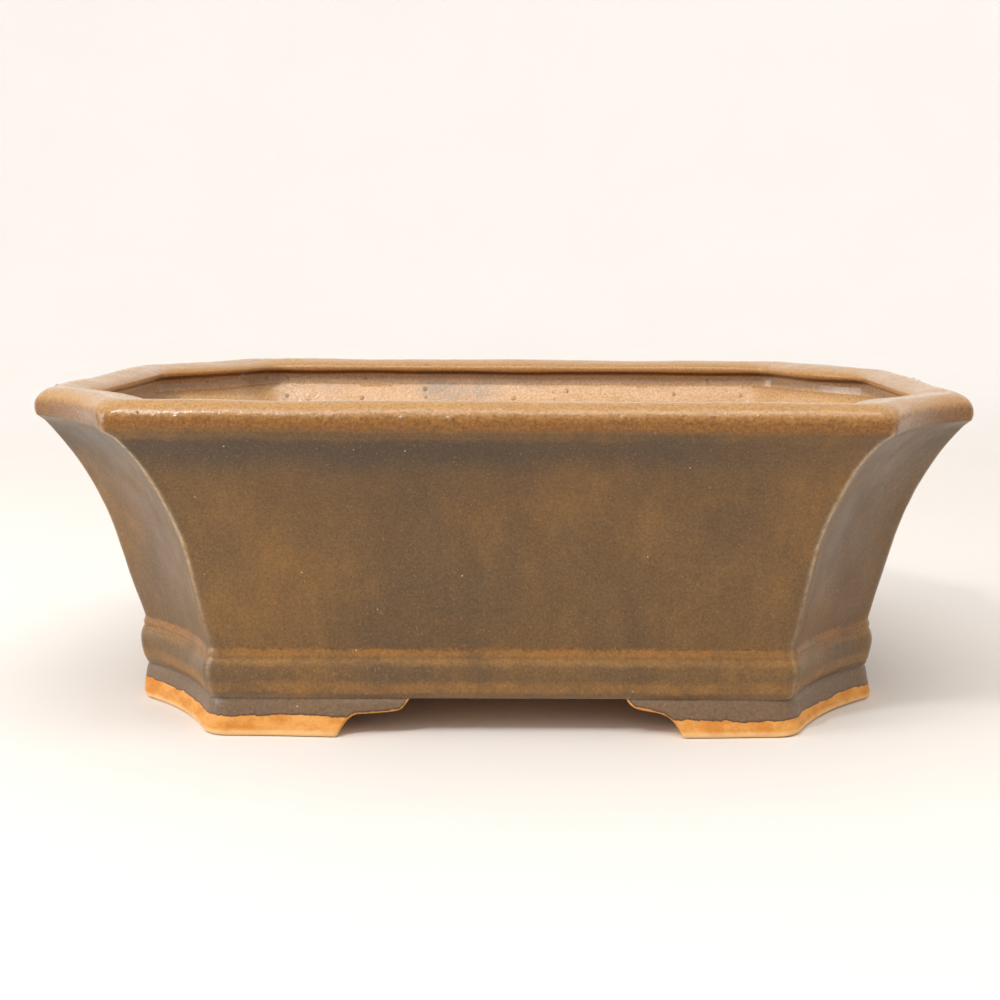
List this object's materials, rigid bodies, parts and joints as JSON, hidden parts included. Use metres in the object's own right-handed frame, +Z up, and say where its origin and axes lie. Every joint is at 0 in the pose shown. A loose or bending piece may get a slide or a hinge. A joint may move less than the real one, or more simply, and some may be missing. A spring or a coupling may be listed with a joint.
{
  "type": "bonsai pot",
  "caption": "Shallow rectangular stoneware bonsai pot: scooped corners, flared walls, rolled rim, moulded base band and cloud feet, in ochre glaze.",
  "frame": {"origin": "centre of the footprint, on the table under the feet", "axes": "+X along the long side, +Y from the front to the back, +Z up out of the mouth"},
  "size_m": [0.222, 0.152, 0.08],
  "materials": {
    "ochre_glaze": "satin",
    "bare_clay": "matte"
  },
  "bodies": {
    "root": {"floor_slab": "bare_clay", "band_front": "ochre_glaze", "band_back": "ochre_glaze", "band_left": "ochre_glaze", "band_right": "ochre_glaze", "band_corner_front_left": "ochre_glaze", "band_corner_front_right": "ochre_glaze", "band_corner_back_left": "ochre_glaze", "band_corner_back_right": "ochre_glaze", "wall_front": "ochre_glaze", "wall_back": "ochre_glaze", "wall_left": "ochre_glaze", "wall_right": "ochre_glaze", "corner_front_left": "ochre_glaze", "corner_front_right": "ochre_glaze", "corner_back_left": "ochre_glaze", "corner_back_right": "ochre_glaze", "rim_front": "ochre_glaze", "rim_back": "ochre_glaze", "rim_left": "ochre_glaze", "rim_right": "ochre_glaze", "rim_corner_front_left": "ochre_glaze", "rim_corner_front_right": "ochre_glaze", "rim_corner_back_left": "ochre_glaze", "rim_corner_back_right": "ochre_glaze", "foot_front_left": "bare_clay", "foot_front_right": "bare_clay", "foot_back_left": "bare_clay", "foot_back_right": "bare_clay"}
  },
  "joints": []
}
